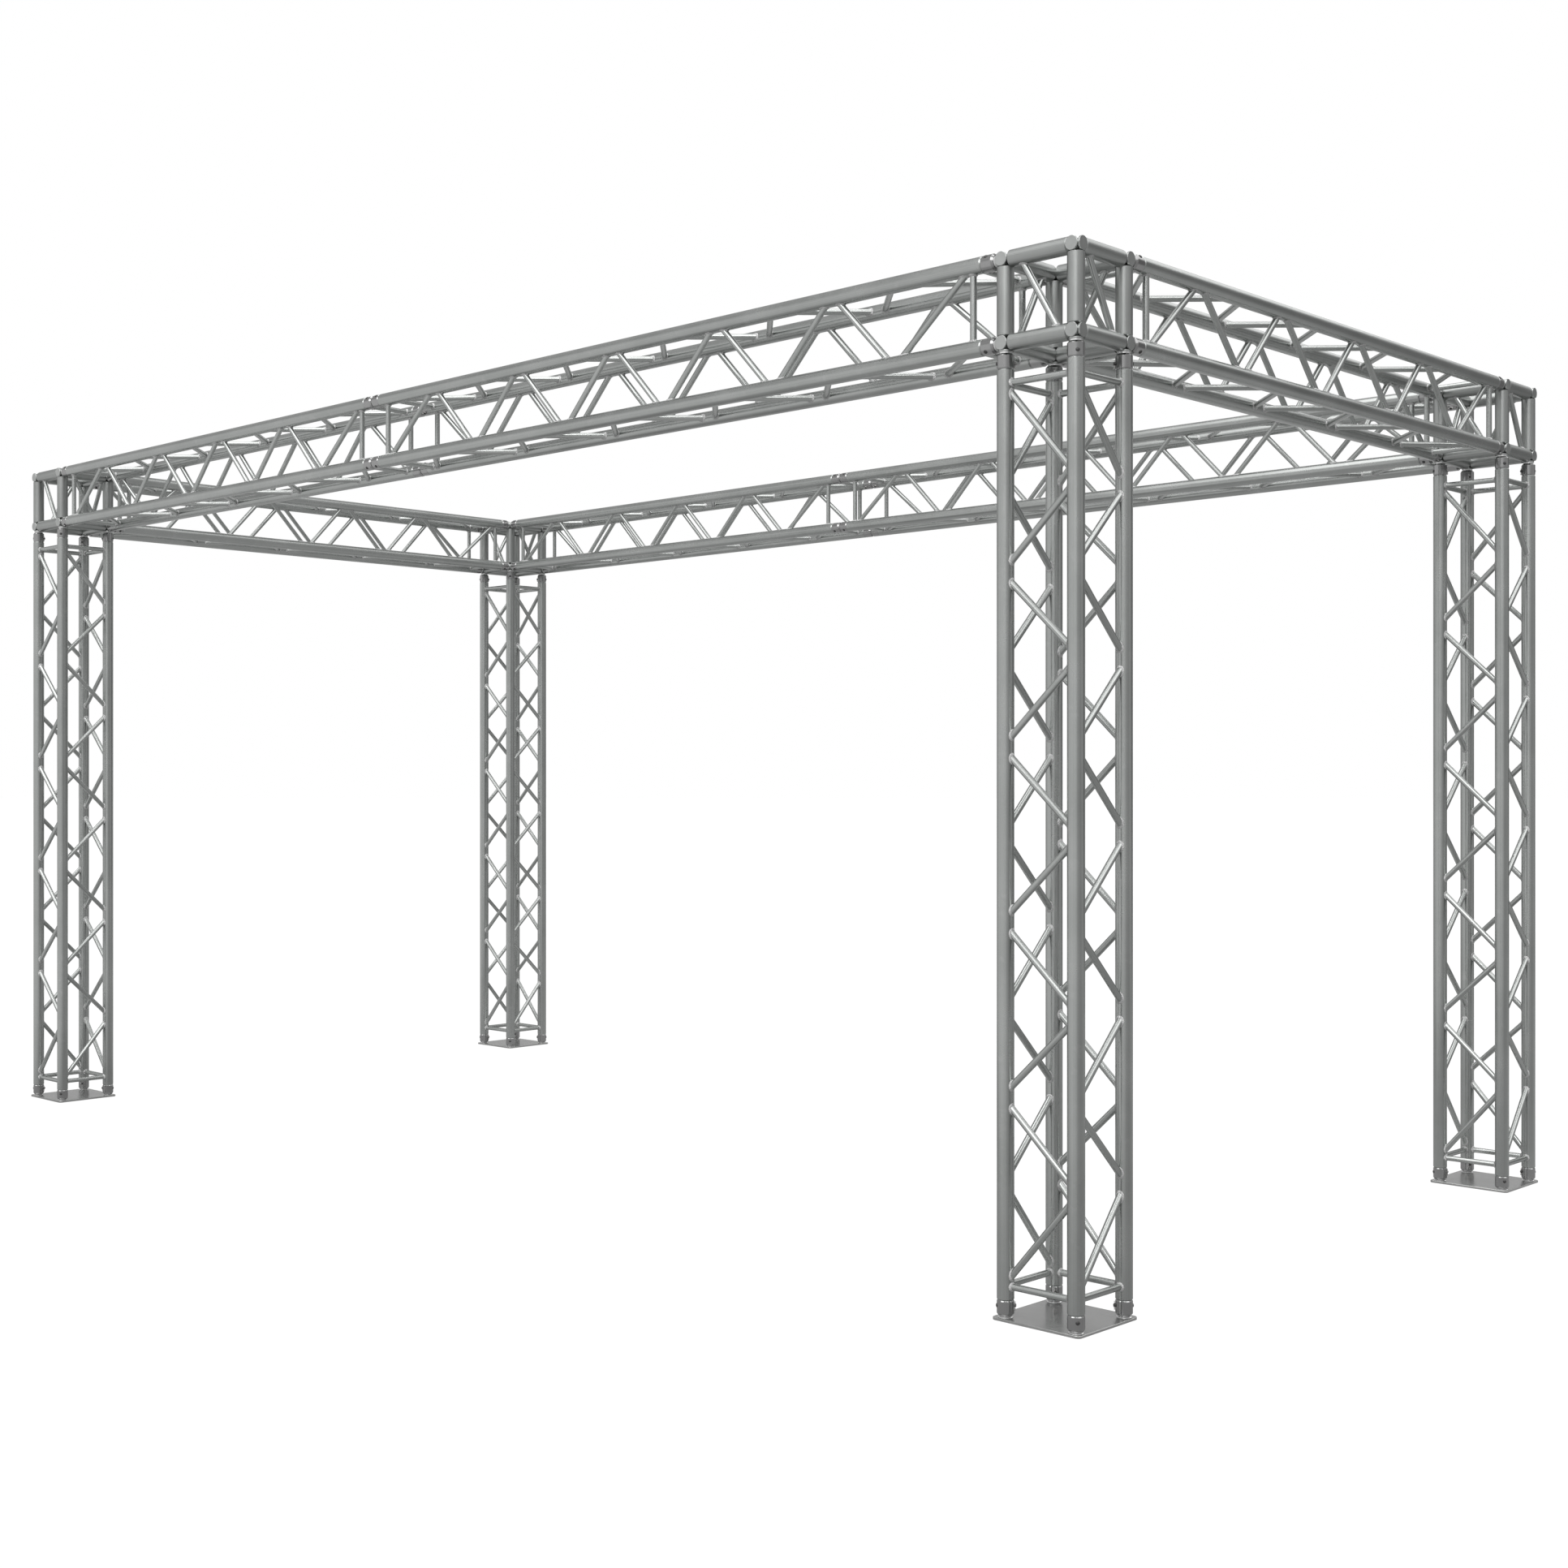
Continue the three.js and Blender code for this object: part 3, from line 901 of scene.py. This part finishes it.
def cube_corners(centre):
    """A cube's cores and bosses, its bars, and the half couplers on the bosses that
    carry a span or the leg."""
    coupled = [X * -math.copysign(1, centre.x), Y * -math.copysign(1, centre.y), -Z]
    core, boss, bar, coupler = cube_core(), cube_boss(), cube_bar(), half_coupler(False)
    cast, bars, turned = [], [], []
    for sx, sy in RING:
        for sz in (-1, 1):
            at = centre + Vector((sx, sy, sz)) * HALF_SPACING
            cast.append(core.placed(Matrix.Translation(at)))
            for way in (X * sx, Y * sy, Z * sz):
                if way == Z:
                    continue
                cast.append(boss.placed(along_matrix(way, at)))
                if way in coupled:
                    turned.append(coupler.placed(along_matrix(way, at + way * BOSS_REACH)))
            for way in (X, Y, Z):
                if at.dot(way) < centre.dot(way):
                    bars.append(bar.placed(along_matrix(way, at)))
    return joined(cast), joined(bars), joined(turned)


def cube_braces(centre):
    """The brace in each upright face of a cube, and its welds."""
    tubes, beads = [], []
    pattern = brace(CHORD_SPACING - 2 * CUBE_BRACE_INSET)
    for top, bottom in zip(RING, RING[1:] + RING[:1]):
        outward = (Vector((*top, 0)) + Vector((*bottom, 0))) / 2
        level = (Vector((*bottom, 0)) - Vector((*top, 0))) / 2
        place = axes_matrix(-Z, -outward, level, centre + outward * HALF_SPACING)
        for group, shape in zip((tubes, beads), pattern):
            group.append(shape.placed(place))
    return joined(tubes), joined(beads)


def corner_cube(node, metals):
    """A corner cube, centred over its leg."""
    leg_low, leg_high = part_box(node.replace("corner_block_", "leg_"))
    middle = (leg_low + leg_high) / 2
    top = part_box(node)[1].z
    centre = Vector((middle.x, middle.y, top - CHORD_RADIUS - HALF_SPACING))
    cast, bars, turned = cube_corners(centre)
    tubes, beads = cube_braces(centre)
    kept(made(node + "_cube", cast, metals["cast"]), [node])
    kept(made(node + "_bars", bars, metals["bar"]))
    kept(made(node + "_couplers", turned, metals["turned"]))
    kept(made(node + "_braces", tubes, metals["brace"]))
    kept(made(node + "_welds", beads, metals["weld"]))


def base_plate(node, metals):
    """A plate with round corners and a broken edge."""
    low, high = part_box(node)
    middle = (low + high) / 2
    outline = []
    inner = (high.x - low.x) / 2 - PLATE_CORNER_RADIUS
    for sx, sy, start in ((1, 1, 0), (-1, 1, 90), (-1, -1, 180), (1, -1, 270)):
        for step in range(PLATE_CORNER_STEPS + 1):
            turn = math.radians(start + step * 90 / PLATE_CORNER_STEPS)
            outline.append((sx * inner, sy * inner, math.cos(turn), math.sin(turn)))
    outline = np.array(outline)

    def ring(height, inset):
        reach = PLATE_CORNER_RADIUS - inset
        x = middle.x + outline[:, 0] + outline[:, 2] * reach
        y = middle.y + outline[:, 1] + outline[:, 3] * reach
        return np.column_stack([x, y, np.full(len(outline), height)])

    rings = [
        np.array([[middle.x, middle.y, low.z]]),
        ring(low.z, PLATE_EDGE),
        ring(low.z + PLATE_EDGE, 0),
        ring(high.z - PLATE_EDGE, 0),
        ring(high.z, PLATE_EDGE),
        np.array([[middle.x, middle.y, high.z]]),
    ]
    kept(made(node + "_plate", loft(rings), metals["plate"]), [node])


# The studio: an even fill, a band of light level with the frame on its long front and
# soft boxes in the ceiling. The band has a direction and the cosines from it where it
# starts and is full. A soft box has its middle and half size, across and along that
# direction, as shares of the ceiling's height, and a strength. A dark side has a
# direction, the cosines from it where it starts and is full, and what it takes away.
# The metal sees the same studio in the floor, as it lies from the middle of the frame.
STUDIO_FILL = 0.50
BAND_TOWARD = Vector((-0.309, -0.951, 0.0))
BAND_ACROSS = Vector((0.951, -0.309, 0.0))
BAND_START, BAND_FULL = 0.10, 0.85
BAND_FULL_RISE, BAND_END_RISE = 0.24, 0.50
BAND_STRENGTH = 0.31
BOX_EDGE = 0.07
BOX_LOWEST_RISE, BOX_FULL_RISE = 0.15, 0.30
SOFT_BOXES = [
    ((-0.11, 0.95), (0.31, 1.25), 2.5),
    ((1.27, 1.25), (0.73, 1.02), 2.9),
    ((1.15, -0.45), (0.85, 0.45), 1.5),
    ((-0.40, -1.40), (0.80, 0.42), 0.9),
]
DARK_SIDES = [
    ((0.467, 0.878, 0.105), 0.925, 0.975, 0.27),
    ((0.960, -0.080, -0.270), 0.860, 0.960, 0.10),
    ((-0.557, -0.321, -0.766), 0.820, 0.940, 0.16),
]
MID_FRAME = (0.0, 0.0, 1.5)

# The floor, as a diffuse grey that takes the shadow and plain white mixed over it
FLOOR_SIZE = 400.0
FLOOR_GREY = 0.42
FLOOR_WHITE_SHARE = 0.86
FLOOR_WHITE = 1.12


def surround(graph, way):
    """The studio's light by direction, as a strength."""

    def soft(value, edge, full, high=1.0):
        kind = {"interpolation_type": "SMOOTHSTEP"}
        return graph.node("ShaderNodeMapRange", kind, [value, edge, full, 0.0, high])

    def towards(aim):
        kind = {"operation": "DOT_PRODUCT"}
        return graph.node("ShaderNodeVectorMath", kind, [way, aim], "Value")

    rise = towards(Z)
    level = rise.math("ABSOLUTE")
    band = soft(towards(BAND_TOWARD), BAND_START, BAND_FULL, BAND_STRENGTH)
    light = band * soft(level, BAND_END_RISE, BAND_FULL_RISE) + STUDIO_FILL
    height = rise.math("MAXIMUM", BOX_LOWEST_RISE)
    places = [towards(aim) / height for aim in (BAND_ACROSS, BAND_TOWARD)]
    overhead = soft(rise, BOX_LOWEST_RISE, BOX_FULL_RISE)
    for middle, half, strength in SOFT_BOXES:
        inside = overhead * strength
        for place, centre, reach in zip(places, middle, half):
            off = (place - centre).math("ABSOLUTE")
            inside = inside * soft(off, reach + BOX_EDGE, reach - BOX_EDGE)
        light = light + inside
    for aim, edge, full, depth in DARK_SIDES:
        light = light - soft(towards(aim), edge, full, depth)
    return light


def floor_material():
    """White to the camera but for the shadow, and the studio to the metal."""
    material = bpy.data.materials.new("studio_floor")
    material.use_nodes = True
    material.node_tree.nodes.clear()
    graph = Graph(material.node_tree)
    seen = graph.node("ShaderNodeLightPath", {}, (), "Is Camera Ray")
    mirrored = graph.node("ShaderNodeLightPath", {}, (), "Is Glossy Ray")
    spot = graph.node("ShaderNodeNewGeometry", {}, (), "Position")
    from_frame = graph.node("ShaderNodeVectorMath", {"operation": "SUBTRACT"}, [spot, MID_FRAME])
    way = graph.node("ShaderNodeVectorMath", {"operation": "NORMALIZE"}, [from_frame])
    lit = graph.node("ShaderNodeBsdfDiffuse", {}, {"Color": grey(FLOOR_GREY)})
    white = graph.node("ShaderNodeEmission", {}, {"Color": grey(1.0), "Strength": FLOOR_WHITE})
    light = {"Color": grey(1.0), "Strength": surround(graph, way)}
    studio = graph.node("ShaderNodeEmission", {}, light)
    shown = graph.node("ShaderNodeMixShader", {}, [FLOOR_WHITE_SHARE, lit, white])
    rest = graph.node("ShaderNodeMixShader", {}, [mirrored, lit, studio])
    both = graph.node("ShaderNodeMixShader", {}, [seen, rest, shown])
    graph.node("ShaderNodeOutputMaterial", {}, {"Surface": both})
    return material


def studio_world():
    """White to the camera, and the studio's light to everything else."""
    world = bpy.data.worlds.new("studio_surround")
    world.use_nodes = True
    world.node_tree.nodes.clear()
    graph = Graph(world.node_tree)
    seen = graph.node("ShaderNodeLightPath", {}, (), "Is Camera Ray")
    way = graph.node("ShaderNodeTexCoord", {}, (), "Generated")
    strength = seen + (1.0 - seen) * surround(graph, way)
    sky = graph.node("ShaderNodeBackground", {}, {"Color": grey(1.0), "Strength": strength})
    graph.node("ShaderNodeOutputWorld", {}, {"Surface": sky})
    return world


def stage():
    """A pale floor that keeps the frame's shadow, and the studio round it."""
    bpy.ops.mesh.primitive_plane_add(size=FLOOR_SIZE)
    floor = bpy.context.object
    floor.name = "studio_floor"
    floor.data.materials.append(floor_material())
    bpy.context.scene.world = studio_world()
    bpy.context.scene.view_settings.view_transform = "Standard"


make_camera()
metals = {
    "tube": extruded_tube("chord_tube_aluminium", 0.43, 0.20, CHORD_RELIEF, receivers=True),
    "brace": extruded_tube("brace_tube_aluminium", 0.45, 0.21),
    # The cube bars use the tube finish at a darker level than the chords: partly their own tone,
    # partly painted shade for the shade inside and under the cubes.
    "bar": extruded_tube("cube_bar_aluminium_painted_shade", 0.38, 0.28),
    "weld": weld_metal(),
    "cast": cast_metal(),
    "turned": turned_metal(),
    "pin": dark_steel(),
    "clip": spring_steel(),
    "plate": rolled_plate(),
}
straight_sections(metals)
couplers(metals)
for block in sorted(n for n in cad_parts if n.startswith("corner_block_")):
    corner_cube(block, metals)
for plate in sorted(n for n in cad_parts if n.startswith("base_plate_")):
    base_plate(plate, metals)
stage()
